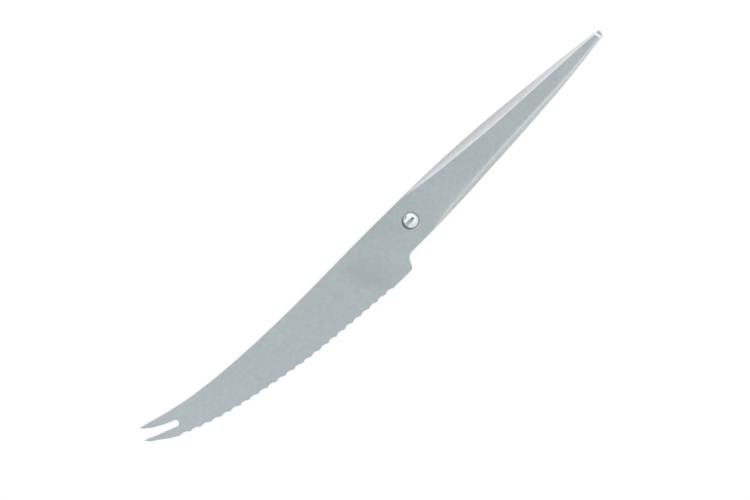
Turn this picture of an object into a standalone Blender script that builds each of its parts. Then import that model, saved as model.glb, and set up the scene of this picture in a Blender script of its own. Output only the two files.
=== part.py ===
"""Fork-tipped cheese knife, all steel: ground blade with bolster and tang, two handle shells,
a filling round the tang, a domed finger stop through the neck and a polished butt cap.

Driving dimensions are in millimetres. X runs along the knife towards the butt, Y from the
cutting edge towards the spine and Z through the thickness, with the mid-plane at Z = 0.
"""

import math

import bmesh
import bpy

MM = 0.001

# Blade outline, seen from the side, as (x, y) knots of smooth curves
SPINE = ((-131.4, 16.3), (-129.0, 15.84), (-126.0, 15.02), (-114.0, 12.1), (-102.0, 10.28),
         (-86.0, 8.99), (-70.0, 8.4), (-54.0, 8.27), (-38.0, 8.53), (-22.0, 8.87), (-8.0, 8.96),
         (4.0, 9.0))
EDGE = ((-122.0, 3.22), (-113.3, -0.14), (-107.0, -2.22), (-101.0, -3.84), (-84.9, -7.26),
        (-64.3, -10.56), (-43.4, -12.4), (-22.85, -13.8))
UNDER_PRONG = ((-133.3, 11.55), (-132.1, 10.05), (-129.2, 7.95), (-125.9, 5.55), (-122.0, 3.22))
SLOT_UPPER = ((-131.4, 16.3), (-128.7, 13.8), (-125.9, 12.05), (-122.7, 10.33), (-119.43, 9.03))
SLOT_LOWER = ((-133.3, 11.55), (-131.6, 11.1), (-129.2, 10.0), (-125.9, 8.7), (-122.7, 7.55),
              (-120.35, 6.63))
SLOT_CENTRE = (-119.89, 7.83)
SLOT_RADIUS = 1.29

# Heel: plain stretch of edge, rounded corner and the hollow up to the neck
HEEL_Y = -13.85
HEEL_X = -13.6
HEEL_RADIUS = 2.15
HOLLOW_RADIUS = 3.6
HEEL_ANGLE = math.radians(68)
NECK_Y = -8.82
NECK_END = 4.0

# Serration: equal scallops, deepest a little towards the tip and fluted on the far face only
SCALLOPS = 24
SCALLOP_DEPTH = 0.69
SCALLOP_LEAN = 0.22
SCALLOP_STEPS = 7
TOOTH_PROUD = 0.08
FLUTE_RISE = 6.0
PLAIN_FROM = -14.6
PLAIN_DROP = 0.05
CUTTER_MARGIN = 9.0

# Blade faces: each is one plane, which runs out into the flat neck along slanting lines
SPINE_HALF = 1.05
EDGE_HALF = 0.35
TAPER_TIP = (-121.0, 3.2)
TAPER_SPINE = (-20.0, 9.0)
NECK_HALF = 1.1
RUN_OUT_SLANT = 0.43
RUN_OUT_START = -34.0
RUN_OUT_WIDTH = 15.0
RUN_OUT_STEPS = 8

# Handle: outline, creases between the flat sides and the facets, and half thickness
TOP = ((4.0, 9.0), (15.5, 8.94), (31.0, 8.5), (46.5, 7.65), (62.0, 6.41), (77.5, 5.0),
       (93.0, 3.4), (101.7, 2.46), (104.05, 2.22))
BOTTOM = ((4.0, -8.64), (15.5, -8.24), (31.0, -7.41), (46.5, -6.43), (62.0, -5.32), (77.5, -4.04),
          (93.0, -2.29), (101.7, -1.12), (104.05, -0.95))
UPPER_CREASE = ((4.0, 9.0), (7.75, 8.2), (15.5, 7.05), (31.0, 5.48), (46.5, 4.26), (62.0, 3.52),
                (77.5, 2.93), (93.0, 2.48), (104.05, 1.72))
LOWER_CREASE = ((4.0, -8.64), (7.75, -7.9), (15.5, -6.86), (31.0, -5.5), (46.5, -4.46), (62.0, -3.68),
                (77.5, -2.91), (93.0, -1.6), (104.05, -0.5))
HALF_THICKNESS = ((4.0, 1.1), (9.0, 1.55), (15.0, 2.5), (22.0, 3.55), (31.0, 4.6), (46.5, 5.6),
                  (62.0, 5.35), (77.5, 4.15), (93.0, 2.5), (104.05, 1.7))
FACET_CROWN = 0.085
FACET_STEPS = 3
BOLSTER_END = 14.0
SHELL_END = 101.4
WALL = 0.8
GAP = 0.3

# Tang, filling, finger stop and butt cap
TANG_START = 10.0
TANG_END = 58.0
TANG_HALF = 1.05
TANG_HEIGHT = (10.0, 5.0)
FILLING_SPAN = (20.0, 95.5)
STOP_CENTRE = (0.2, 0.15)
STOP_BORE = 3.35
STOP_RADIUS = 3.0
STOP_SHOULDER = 0.15
DOME_RADIUS = 4.3
DOME_STEPS = 6
ROUND_SIDES = 40
SPIGOT_START = 96.5
CAP_START = 101.7
CAP_END = 104.05
CAP_ROUNDING = 1.1
CAP_TURN = math.radians(72)
CAP_FLAT = 0.4
CAP_STEPS = 4

# Spacing of outline points and of sections
OUTLINE_STEP = 4.0
PRONG_STEP = 1.5
SECTION_STEP = 4.0
FLARE_STEP = 2.0
FLARE_END = 30.0

# The origin is the middle of the whole knife's box
ORIGIN = ((UNDER_PRONG[0][0] + CAP_END) / 2, (HEEL_Y + SPINE[0][1]) / 2)

SATIN_STEEL = (0.42, 0.46, 0.48, 1.0)
POLISHED_STEEL = (0.78, 0.79, 0.8, 1.0)
FILLING_GREY = (0.32, 0.3, 0.27, 1.0)


def curve_through(knots):
    """A smooth height y(x) through knots that run with rising x."""
    spans = [b[0] - a[0] for a, b in zip(knots, knots[1:])]
    rises = [(b[1] - a[1]) / span for a, b, span in zip(knots, knots[1:], spans)]
    slopes = [
        (before * right + after * left) / (before + after)
        for before, after, left, right in zip(spans, spans[1:], rises, rises[1:])
    ]
    slopes = [(3 * rises[0] - slopes[0]) / 2, *slopes, (3 * rises[-1] - slopes[-1]) / 2]

    def height(x):
        i = 0
        while i < len(spans) - 1 and x > knots[i + 1][0]:
            i += 1
        t = (x - knots[i][0]) / spans[i]
        start = knots[i][1] * (1 + 2 * t) + slopes[i] * spans[i] * t
        end = knots[i + 1][1] * (3 - 2 * t) - slopes[i + 1] * spans[i] * (1 - t)
        return start * (1 - t) ** 2 + end * t**2

    return height


spine = curve_through(SPINE)
edge = curve_through(EDGE)
top = curve_through(TOP)
bottom = curve_through(BOTTOM)
upper_crease = curve_through(UPPER_CREASE)
lower_crease = curve_through(LOWER_CREASE)
half_thickness = curve_through(HALF_THICKNESS)


def stations(start, end, step):
    """Evenly spaced values from start to end, no further apart than step."""
    count = max(1, math.ceil(abs(end - start) / step))
    return [start + (end - start) * i / count for i in range(count + 1)]


def along(curve, start, end, step):
    return [(x, curve(x)) for x in stations(start, end, step)]


def arc(centre, radius, start, end, steps):
    """Points round a circle, with angles in radians from +X."""
    return [
        (centre[0] + radius * math.cos(angle), centre[1] + radius * math.sin(angle))
        for angle in (start + (end - start) * i / steps for i in range(steps + 1))
    ]


def without_repeats(points):
    return [p for p, q in zip(points, points[1:] + points[:1]) if math.dist(p, q) > 1e-6]


def heel_outline():
    """From the plain edge round the heel's corner and up the hollow to the neck."""
    corner = (HEEL_X, HEEL_Y + HEEL_RADIUS)
    turned = 1 - math.cos(HEEL_ANGLE)
    straight = (NECK_Y - HEEL_Y - (HEEL_RADIUS + HOLLOW_RADIUS) * turned) / math.sin(HEEL_ANGLE)
    hollow_x = HEEL_X + (HEEL_RADIUS + HOLLOW_RADIUS) * math.sin(HEEL_ANGLE)
    hollow_x += straight * math.cos(HEEL_ANGLE)
    hollow = (hollow_x, NECK_Y - HOLLOW_RADIUS)
    quarter = math.pi / 2
    return [
        *arc(corner, HEEL_RADIUS, -quarter, -quarter + HEEL_ANGLE, 6),
        *arc(hollow, HOLLOW_RADIUS, quarter + HEEL_ANGLE, quarter, 8),
    ]


def slot_end():
    """The round end of the fork's slot, from its upper edge to its lower edge."""
    upper = math.atan2(SLOT_UPPER[-1][1] - SLOT_CENTRE[1], SLOT_UPPER[-1][0] - SLOT_CENTRE[0])
    lower = math.atan2(SLOT_LOWER[-1][1] - SLOT_CENTRE[1], SLOT_LOWER[-1][0] - SLOT_CENTRE[0])
    return arc(SLOT_CENTRE, SLOT_RADIUS, upper, lower, 10)


def blade_outline():
    """Round the blade and neck, from the neck's top along the spine and back along the edge."""
    return without_repeats([
        *along(spine, NECK_END, SPINE[0][0], OUTLINE_STEP),
        *along(curve_through(SLOT_UPPER), SLOT_UPPER[0][0], SLOT_UPPER[-1][0], PRONG_STEP),
        *slot_end(),
        *along(curve_through(SLOT_LOWER), SLOT_LOWER[-1][0], SLOT_LOWER[0][0], PRONG_STEP),
        *along(curve_through(UNDER_PRONG), UNDER_PRONG[0][0], UNDER_PRONG[-1][0], PRONG_STEP),
        *along(edge, EDGE[0][0], EDGE[-1][0], OUTLINE_STEP),
        *heel_outline(),
        (NECK_END, BOTTOM[0][1]),
    ])


def blade_half(x, y):
    """Half the blade's thickness at a point: the ground plane, run out into the neck."""
    rise = TAPER_TIP[1] - HEEL_Y
    fall = TAPER_SPINE[0] - TAPER_TIP[0]
    per_y = (SPINE_HALF - EDGE_HALF) / (TAPER_SPINE[1] - HEEL_Y)
    per_x = per_y * rise / fall
    ground = SPINE_HALF + per_x * (x - TAPER_SPINE[0]) + per_y * (y - TAPER_SPINE[1])
    t = (x + RUN_OUT_SLANT * y - RUN_OUT_START) / RUN_OUT_WIDTH
    t = min(1.0, max(0.0, t))
    return ground + (NECK_HALF - ground) * t * t * (3 - 2 * t)


def facet(crease, ridge, half, reach):
    """Points up one facet from its crease to the ridge at the mid-plane, slightly crowned."""
    points = []
    for i in range(FACET_STEPS + 1):
        t = i / FACET_STEPS
        crown = 4 * t * (1 - t) * FACET_CROWN
        y = crease + (ridge - crease) * t + math.copysign(crown * half, ridge - crease)
        z = half * (1 - t) + crown * abs(ridge - crease)
        points.append((y, z if i < FACET_STEPS else reach))
    return points


def quarter_facets(x, inset, reach):
    """The upper and the lower facet on the +Z side, set in from the outside by a wall's depth."""
    half = half_thickness(x) - inset
    lean = math.atan2(half_thickness(x), top(x) - upper_crease(x))
    shift = inset * math.tan(lean / 2)
    drop = inset / math.sin(lean)
    upper = facet(upper_crease(x) - shift, top(x) - drop, half, reach)
    lower = facet(lower_crease(x) + shift, bottom(x) + drop, half, reach)
    return upper, lower


def handle_ring(x, inset=0.0, scale=1.0):
    """Points round the whole handle at x, from the upper crease at +Z over the ridge and on."""
    upper, lower = quarter_facets(x, inset, 0.0)
    mirrored = [(y, -z) for y, z in reversed(upper[:-1])]
    under = [(y, -z) for y, z in lower[:-1]]
    section = [*upper, *mirrored, *under, *reversed(lower)]
    middle = (top(x) + bottom(x)) / 2
    return [(x, middle + (y - middle) * scale, z * scale) for y, z in section]


def shell_ring(x, side):
    """Points round one handle shell's wall at x: out along the facets and back inside."""
    outer_upper, outer_lower = quarter_facets(x, 0.0, GAP / 2)
    inner_upper, inner_lower = quarter_facets(x, WALL, GAP / 2)
    section = [*reversed(outer_upper), *outer_lower, *reversed(inner_lower), *inner_upper]
    return [(x, y, z * side) for y, z in section]


def tang_ring(x, clearance):
    """The tang's rectangle at x, grown by a clearance."""
    t = (x - TANG_START) / (TANG_END - TANG_START)
    height = TANG_HEIGHT[0] + (TANG_HEIGHT[1] - TANG_HEIGHT[0]) * t
    middle = (upper_crease(x) + lower_crease(x)) / 2
    reach = height / 2 + clearance
    half = TANG_HALF + clearance
    corners = ((reach, half), (reach, -half), (-reach, -half), (-reach, half))
    return [(x, middle + y, z) for y, z in corners]


def skin(bm, rings):
    """Faces between rings of points, or of vertices that the mesh already has."""
    made = [
        [p if isinstance(p, bmesh.types.BMVert) else bm.verts.new([c * MM for c in p]) for p in ring]
        for ring in rings
    ]
    for near, far in zip(made, made[1:]):
        for i in range(len(near)):
            j = (i + 1) % len(near)
            bm.faces.new((near[i], near[j], far[j], far[i]))
    return made


def loft(rings):
    """A closed body through rings of points, with a flat cap at each end."""
    bm = bmesh.new()
    made = skin(bm, rings)
    bm.faces.new(made[0])
    bm.faces.new(made[-1])
    bmesh.ops.recalc_face_normals(bm, faces=bm.faces)
    return bm


def steel(name, colour, roughness, metallic=1.0):
    material = bpy.data.materials.new(name)
    material.use_nodes = True
    shader = material.node_tree.nodes["Principled BSDF"]
    shader.inputs["Base Color"].default_value = colour
    shader.inputs["Roughness"].default_value = roughness
    shader.inputs["Metallic"].default_value = metallic
    material.diffuse_color = colour
    return material


def add_object(name, bm, parent, material=None):
    """An object from a bmesh; one without a material is a helper that stays out of the part."""
    mesh = bpy.data.meshes.new(name)
    bm.to_mesh(mesh)
    bm.free()
    obj = bpy.data.objects.new(name, mesh)
    obj.parent = parent
    bpy.context.scene.collection.objects.link(obj)
    if material:
        mesh.materials.append(material)
        mesh.shade_smooth()
        mesh.set_sharp_from_angle(angle=math.radians(20))
    else:
        obj.hide_render = True
        obj.display_type = "WIRE"
    return obj


def combine(obj, name, operation, other):
    modifier = obj.modifiers.new(name, "BOOLEAN")
    modifier.operation = operation
    modifier.object = other


def ground_plate():
    """The blade and neck as a flat sheet of the outline, given its thickness point by point."""
    bm = bmesh.new()
    bm.faces.new([bm.verts.new((x * MM, y * MM, 0)) for x, y in blade_outline()])
    for q in stations(RUN_OUT_START, RUN_OUT_START + RUN_OUT_WIDTH, RUN_OUT_WIDTH / RUN_OUT_STEPS):
        bmesh.ops.bisect_plane(
            bm, geom=[*bm.verts, *bm.edges, *bm.faces], dist=1e-7,
            plane_co=(q * MM, 0, 0), plane_no=(1, RUN_OUT_SLANT, 0),
        )
    lower = list(bm.verts)
    raised = bmesh.ops.extrude_face_region(bm, geom=list(bm.faces))["geom"]
    upper = [item for item in raised if isinstance(item, bmesh.types.BMVert)]
    for side, verts in ((-1, lower), (1, upper)):
        for vert in verts:
            vert.co.z = side * blade_half(vert.co.x / MM, vert.co.y / MM) * MM
    return bm


def add_bolster(bm):
    """Grows the neck's end into the solid front of the handle, ring by ring."""
    def at_end(item):
        return all(abs(vert.co.x - NECK_END * MM) < 1e-7 for vert in item.verts)

    end_face = next(face for face in bm.faces if at_end(face))
    across = [e for e in end_face.edges if abs(e.verts[0].co.y - e.verts[1].co.y) < 1e-7]
    bmesh.ops.delete(bm, geom=[end_face], context="FACES_ONLY")
    bmesh.ops.subdivide_edges(bm, edges=across, cuts=2 * FACET_STEPS - 1)
    rim = [vert for vert in bm.verts if abs(vert.co.x - NECK_END * MM) < 1e-7]
    rim.sort(key=lambda vert: (math.pi / 2 - math.atan2(vert.co.z, vert.co.y)) % math.tau)
    rings = [handle_ring(x) for x in stations(NECK_END, BOLSTER_END, FLARE_STEP)[1:]]
    made = skin(bm, [rim, *rings])
    bm.faces.new(made[-1])


def scallop(right, left):
    """Points along one hollow from just past its heel end to its tip end."""
    heading = math.atan2(right[1] - left[1], right[0] - left[0])
    points = []
    for i in range(1, SCALLOP_STEPS + 1):
        t = i / SCALLOP_STEPS
        leant = t - SCALLOP_LEAN * t * (1 - t)
        rise = 4 * leant * (1 - leant) * SCALLOP_DEPTH
        points.append((right[0] + (left[0] - right[0]) * t - rise * math.sin(heading),
                       right[1] + (left[1] - right[1]) * t + rise * math.cos(heading)))
    return points


def serration_cutter():
    """The scalloped profile, straight through the near half and rising across the far face."""
    xs = stations(EDGE[-1][0], EDGE[0][0], (EDGE[-1][0] - EDGE[0][0]) / SCALLOPS)
    cusps = [(x, edge(x) - TOOTH_PROUD) for x in xs]
    profile = [(PLAIN_FROM, HEEL_Y - PLAIN_DROP), cusps[0]]
    for right, left in zip(cusps, cusps[1:]):
        profile += scallop(right, left)
    low = HEEL_Y - CUTTER_MARGIN
    profile += [(cusps[-1][0] - CUTTER_MARGIN, low), (PLAIN_FROM + CUTTER_MARGIN, low)]
    reach = 2 * NECK_HALF
    levels = ((reach, 0.0), (0.0, 0.0), (-reach, reach * FLUTE_RISE))
    return loft([[(x, y + rise, z) for x, y in profile] for z, rise in levels])


def cylinder(centre, radius, half_height):
    turns = [math.tau * i / ROUND_SIDES for i in range(ROUND_SIDES)]
    return loft([
        [(centre[0] + radius * math.cos(a), centre[1] + radius * math.sin(a), z) for a in turns]
        for z in (-half_height, half_height)
    ])


def make_blade(parent, material):
    bm = ground_plate()
    add_bolster(bm)
    bmesh.ops.recalc_face_normals(bm, faces=bm.faces)
    blade = add_object("blade", bm, parent, material)
    tang = loft([tang_ring(x, 0.0) for x in (TANG_START, TANG_END)])
    combine(blade, "tang", "UNION", add_object("tang_form", tang, parent))
    combine(blade, "serration", "DIFFERENCE", add_object("serration_cutter", serration_cutter(), parent))
    bore = cylinder(STOP_CENTRE, STOP_BORE, 2 * NECK_HALF)
    combine(blade, "stop bore", "DIFFERENCE", add_object("stop_bore_cutter", bore, parent))


def make_finger_stop(parent, material):
    """A pin with a shallow polished dome on both ends."""
    base = math.sqrt(DOME_RADIUS**2 - STOP_RADIUS**2)
    turn = math.asin(STOP_RADIUS / DOME_RADIUS)
    dome = []
    for i in range(1, DOME_STEPS + 1):
        angle = turn * i / DOME_STEPS
        height = NECK_HALF + STOP_SHOULDER + DOME_RADIUS * math.cos(angle) - base
        dome.append((DOME_RADIUS * math.sin(angle), height))
    profile = [*dome, *[(radius, -z) for radius, z in reversed(dome)]]
    turns = [math.tau * i / ROUND_SIDES for i in range(ROUND_SIDES)]
    rings = [
        [(STOP_CENTRE[0] + r * math.cos(a), STOP_CENTRE[1] + r * math.sin(a), z) for a in turns]
        for r, z in profile
    ]
    add_object("finger_stop", loft(rings), parent, material)


def make_shells(parent, material):
    xs = stations(BOLSTER_END + GAP, FLARE_END, FLARE_STEP)
    xs += stations(FLARE_END, SHELL_END, SECTION_STEP)[1:]
    for name, side in (("handle_shell_left", 1), ("handle_shell_right", -1)):
        add_object(name, loft([shell_ring(x, side) for x in xs]), parent, material)


def make_filling(parent, material):
    body = loft([handle_ring(x, WALL + GAP) for x in stations(*FILLING_SPAN, SECTION_STEP)])
    filling = add_object("handle_filling", body, parent, material)
    slot = loft([tang_ring(x, GAP) for x in (TANG_START, TANG_END + GAP)])
    combine(filling, "tang slot", "DIFFERENCE", add_object("tang_slot_cutter", slot, parent))


def make_butt_cap(parent, material):
    """A spigot that plugs the shells' end, and outside it a collar with a rounded end."""
    rings = [handle_ring(x, WALL + GAP) for x in (SPIGOT_START, CAP_START)]
    rings += [handle_ring(x) for x in (CAP_START, CAP_END - CAP_ROUNDING)]
    for i in range(1, CAP_STEPS + 1):
        turn = CAP_TURN * i / CAP_STEPS
        x = CAP_END - CAP_ROUNDING * (1 - math.sin(turn) / math.sin(CAP_TURN))
        rings.append(handle_ring(x, scale=CAP_FLAT + (1 - CAP_FLAT) * math.cos(turn)))
    add_object("butt_cap", loft(rings), parent, material)


def main():
    for obj in list(bpy.data.objects):
        bpy.data.objects.remove(obj, do_unlink=True)
    knife = bpy.data.objects.new("knife", None)
    knife.location = (-ORIGIN[0] * MM, -ORIGIN[1] * MM, 0)
    bpy.context.scene.collection.objects.link(knife)
    satin = steel("satin_steel", SATIN_STEEL, 0.42)
    polished = steel("polished_steel", POLISHED_STEEL, 0.08)
    filling = steel("filling", FILLING_GREY, 0.9, metallic=0.0)
    make_blade(knife, satin)
    make_finger_stop(knife, polished)
    make_shells(knife, satin)
    make_filling(knife, filling)
    make_butt_cap(knife, polished)


main()
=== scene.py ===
import math

import bpy
from mathutils import Matrix, Vector


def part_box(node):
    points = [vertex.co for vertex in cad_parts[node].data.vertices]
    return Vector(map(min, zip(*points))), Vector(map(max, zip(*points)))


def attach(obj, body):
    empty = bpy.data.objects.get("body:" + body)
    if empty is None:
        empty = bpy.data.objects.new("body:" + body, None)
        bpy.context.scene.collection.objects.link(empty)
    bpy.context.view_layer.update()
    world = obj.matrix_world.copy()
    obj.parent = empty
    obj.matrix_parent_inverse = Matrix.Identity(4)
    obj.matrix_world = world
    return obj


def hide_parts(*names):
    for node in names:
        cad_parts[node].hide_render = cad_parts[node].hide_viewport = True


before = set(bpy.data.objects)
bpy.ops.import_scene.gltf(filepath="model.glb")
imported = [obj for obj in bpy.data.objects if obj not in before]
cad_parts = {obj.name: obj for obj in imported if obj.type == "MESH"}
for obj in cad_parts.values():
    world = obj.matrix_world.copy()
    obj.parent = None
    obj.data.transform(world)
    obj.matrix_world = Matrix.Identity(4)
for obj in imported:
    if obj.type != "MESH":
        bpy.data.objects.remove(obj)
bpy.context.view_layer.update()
mm = 0.001
tiny = 1e-7              # metres within which two places are one
alongAxis = 0.9          # a normal counts as along an axis from here,
acrossAxis = 0.5         # and as across it up to here

# Every length below is in millimetres, in the knife's own frame: x runs towards the butt,
# y from the cutting edge to the spine, z through the thickness. The stud's node ties it to the CAD.
studPlace = (0.2, 0.15)
studLow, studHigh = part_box("finger_stop")
shift = (studLow + studHigh) / 2 / mm - Vector((*studPlace, 0))


def place(x, y, z=0.0):
    return Vector(((x + shift.x) * mm, (y + shift.y) * mm, z * mm))


def only(piece):
    # leaves just this piece selected and active, in object mode
    if bpy.context.mode != "OBJECT":
        bpy.ops.object.mode_set(mode="OBJECT")
    bpy.ops.object.select_all(action="DESELECT")
    piece.select_set(True)
    bpy.context.view_layer.objects.active = piece


def named(name):
    piece = bpy.context.active_object
    piece.name = name
    piece.data.name = name
    return piece


def selectWhere(piece, kind, test):
    # picks vertices, edges or polygons by a test, and leaves the piece in edit mode
    only(piece)
    for items in (piece.data.vertices, piece.data.edges, piece.data.polygons):
        items.foreach_set("select", [False] * len(items))
    for item in getattr(piece.data, kind):
        item.select = test(item)
    modes = ("vertices", "edges", "polygons")
    bpy.context.tool_settings.mesh_select_mode = [kind == mode for mode in modes]
    bpy.ops.object.mode_set(mode="EDIT")


def edgeNormals(piece):
    # the normals of the faces at each edge
    found = {}
    for face in piece.data.polygons:
        for key in face.edge_keys:
            found.setdefault(key, []).append(face.normal.copy())
    return found


def everything():
    bpy.ops.mesh.select_all(action="SELECT")


def openAll(piece):
    # goes into edit mode with all of the piece selected
    only(piece)
    bpy.ops.object.mode_set(mode="EDIT")
    everything()


def turnOutwards():
    everything()
    bpy.ops.mesh.normals_make_consistent(inside=False)


def ringRound(piece, height):
    # the selected vertices of a ring, in order round a height
    bpy.ops.object.mode_set(mode="OBJECT")

    def turn(vertex):
        return round(math.atan2(vertex.co.z, vertex.co.y - height), 6) % math.tau

    return sorted((vertex for vertex in piece.data.vertices if vertex.select), key=turn)


def pull(x, y, z):
    # extrudes what is selected and moves it, in millimetres
    bpy.ops.mesh.extrude_region_move(TRANSFORM_OT_translate={"value": (x * mm, y * mm, z * mm)})


def flatShape(name, points, height):
    # a circle of as many points, drawn out to an outline at one height
    bpy.ops.mesh.primitive_circle_add(vertices=len(points), fill_type="NGON")
    piece = named(name)
    for vertex, (x, y) in zip(piece.data.vertices, points):
        vertex.co = place(x, y, height)
    return piece


def applyModifier(piece, kind, **settings):
    only(piece)
    modifier = piece.modifiers.new(kind.lower(), kind)
    for key, value in settings.items():
        setattr(modifier, key, value)
    bpy.ops.object.modifier_apply(modifier=modifier.name)


def cut(piece, cutter):
    applyModifier(piece, "BOOLEAN", operation="DIFFERENCE", solver="EXACT", object=cutter)
    bpy.data.objects.remove(cutter, do_unlink=True)


def smooth(piece, degrees):
    only(piece)
    bpy.ops.object.shade_smooth_by_angle(angle=math.radians(degrees))


def curveThrough(knots, startSlope=None):
    # a smooth height y(x) through knots that run with rising x
    spans = [b[0] - a[0] for a, b in zip(knots, knots[1:])]
    rises = [(b[1] - a[1]) / span for a, b, span in zip(knots, knots[1:], spans)]
    slopes = [(before * right + after * left) / (before + after)
              for before, after, left, right in zip(spans, spans[1:], rises, rises[1:])]
    first = (3 * rises[0] - slopes[0]) / 2 if startSlope is None else startSlope
    slopes = [first, *slopes, (3 * rises[-1] - slopes[-1]) / 2]

    def height(x):
        i = 0
        while i < len(spans) - 1 and x > knots[i + 1][0]:
            i += 1
        t = (x - knots[i][0]) / spans[i]
        start = knots[i][1] * (1 + 2 * t) + slopes[i] * spans[i] * t
        end = knots[i + 1][1] * (3 - 2 * t) - slopes[i + 1] * spans[i] * (1 - t)
        return start * (1 - t) ** 2 + end * t**2

    return height


def stations(start, end, step):
    count = max(1, math.ceil(abs(end - start) / step))
    return [start + (end - start) * i / count for i in range(count + 1)]


def along(curve, start, end, step):
    return [(x, curve(x)) for x in stations(start, end, step)]


def arc(centre, radius, start, end, steps):
    angles = [start + (end - start) * i / steps for i in range(steps + 1)]
    return [(centre[0] + radius * math.cos(a), centre[1] + radius * math.sin(a)) for a in angles]


def ease(x, start, end):
    t = min(1.0, max(0.0, (x - start) / (end - start)))
    return t * t * (3 - 2 * t)


# Handle: its section at any x, shared by the blade's bolster, both halves and the cap
handle = {
    "top": ((4.0, 9.0), (15.5, 8.94), (31.0, 8.5), (46.5, 7.65), (62.0, 6.41), (77.5, 5.0),
            (93.0, 3.4), (101.7, 2.46), (104.05, 2.22)),
    "bottom": ((4.0, -8.64), (15.5, -8.24), (31.0, -7.41), (46.5, -6.43), (62.0, -5.32),
               (77.5, -4.04), (93.0, -2.29), (101.7, -1.12), (104.05, -0.95)),
    "upperCrease": ((4.0, 9.0), (7.75, 8.2), (15.5, 7.05), (31.0, 5.48), (46.5, 4.26),
                    (62.0, 3.52), (77.5, 2.93), (93.0, 2.48), (104.05, 1.72)),
    "lowerCrease": ((4.0, -8.64), (7.75, -7.9), (15.5, -6.86), (31.0, -5.5), (46.5, -4.46),
                    (62.0, -3.68), (77.5, -2.91), (93.0, -1.6), (104.05, -0.5)),
    "halfThickness": ((4.0, 1.1), (9.0, 1.55), (15.0, 2.5), (22.0, 3.55), (31.0, 4.6), (46.5, 5.595),
                      (62.0, 5.35), (77.5, 4.15), (93.0, 2.5), (104.05, 1.7)),
    "crown": 0.085,         # how far the upper facet swells, as a share of its width
    "lowCrown": ((4.0, 0.02), (16.0, 0.025), (40.0, 0.055), (104.05, 0.055)),    # the lower one's
    "crisp": (0.4, 0.1),    # rounding of the upper crease, on the facet and on the flat side
    "crispEnd": (0.35, 0.30),    # the same at the butt
    "soft": (0.35, 1.7),    # the same for the lower crease
    "softFront": (0.5, 7.5),      # and for the lower crease next to the neck
    "crispGrown": 20.0,     # where the upper crease has its full rounding, and where it goes over
    "crispLate": (70.0, 95.0),    # into the butt's
    "softGrown": 12.0,      # the same for the lower crease, and its way from the neck's rounding
    "softBack": (15.0, 42.0),     # to its own
    "ridge": 0.5,           # rounding along the spine and the belly
    "swellLimit": 0.2,      # the most that a facet swells, for each share of its width in its height
    "ridgeLimit": 0.4,      # the most of a facet's length that the ridge's rounding takes
    "creaseLimit": 0.3,     # and the crease's
    "leastFall": 0.01,      # a facet that leans less than this at its ridge counts as upright
    "sideShares": (0.03, 0.25, 0.5, 0.75, 0.97),     # rows of points across the flat side
    "bolsterEnd": 14.0,
    "shellEnd": 101.65,
    "endSlant": -0.20,      # the satin ends a little later on the belly side,
    "slantReach": 8.0,      # which starts this far before its end
    "wall": 0.8,
    "step": 1.6,
    "cornerSteps": 8,
    "facetSteps": 6,
    "ridgeSteps": 4,
    "smoothBelow": 40,
}
edgeRounding = 0.16         # along the blade's and the neck's long edges
topLine = curveThrough(handle["top"])
bottomLine = curveThrough(handle["bottom"])
upperLine = curveThrough(handle["upperCrease"])
lowerLine = curveThrough(handle["lowerCrease"])
thicknessLine = curveThrough(handle["halfThickness"], startSlope=0.0)
lowCrown = curveThrough(handle["lowCrown"])


def bend(start, control, end, steps):
    # points of a parabola arc, both ends included
    points = []
    for i in range(steps + 1):
        t = i / steps
        points.append(start * (1 - t) ** 2 + control * 2 * t * (1 - t) + end * t**2)
    return points


def facetPoints(half, width, legs, crown):
    # from the ridge at (width, 0) up to the flat side at height half; x here is the reach past the crease
    crown = min(crown, handle["swellLimit"] * width / half)
    length = math.hypot(half, width)
    ridge = min(handle["ridge"], handle["ridgeLimit"] * length)
    reach = width + ridge * width / (length + half)
    foot, tip = Vector((0, half)), Vector((reach, 0))
    swell = (foot + tip) / 2 + Vector((half, reach)) * 2 * crown

    def on(t):
        return foot * (1 - t) ** 2 + swell * 2 * t * (1 - t) + tip * t**2

    def slope(t):
        return (swell - foot) * (1 - t) + (tip - swell) * t

    first, last = min(legs[0] / length, handle["creaseLimit"]), 1 - ridge / length
    low, high = on(last), on(first)
    fall = slope(last)
    lean = (width - low.x) / fall.x if fall.x > handle["leastFall"] * length else 0.0
    meeting = Vector((width, min(low.y, max(0.0, low.y + fall.y * lean)) if lean else low.y / 2))
    rise = slope(first)
    corner = high + rise * ((half - high.y) / rise.y)
    steps = handle["facetSteps"]
    facet = [on(last + (first - last) * i / steps) for i in range(steps + 1)]
    around = bend(Vector((width, 0)), meeting, low, handle["ridgeSteps"])
    over = bend(high, corner, Vector((-legs[1], half)), handle["cornerSteps"])
    return around + facet[1:] + over[1:]


def halfSection(x):
    # (y, z) from the spine's ridge over the flat side to the belly's ridge
    half = thicknessLine(x)
    blend = ease(x, blade["neckEnd"], handle["crispGrown"])
    late = ease(x, *handle["crispLate"])
    crisp = [leg + (end - leg) * late for leg, end in zip(handle["crisp"], handle["crispEnd"])]
    crisp = [edgeRounding + (leg - edgeRounding) * blend for leg in crisp]
    back = ease(x, *handle["softBack"])
    soft = [front + (leg - front) * back for front, leg in zip(handle["softFront"], handle["soft"])]
    early = ease(x, blade["neckEnd"], handle["softGrown"])
    soft = [edgeRounding + (leg - edgeRounding) * early for leg in soft]
    above = facetPoints(half, topLine(x) - upperLine(x), crisp, handle["crown"])
    below = facetPoints(half, lowerLine(x) - bottomLine(x), soft, lowCrown(x))
    upper = [Vector((upperLine(x) + p.x, p.y)) for p in above]
    lower = [Vector((lowerLine(x) - p.x, p.y)) for p in below]
    start, end = upper[-1], lower[-1]
    side = [start.lerp(end, share) for share in handle["sideShares"]]
    return upper + side + lower[::-1]


def fullSection(x):
    near = halfSection(x)
    return near + [Vector((p.x, -p.y)) for p in near[-2:0:-1]]


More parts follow.
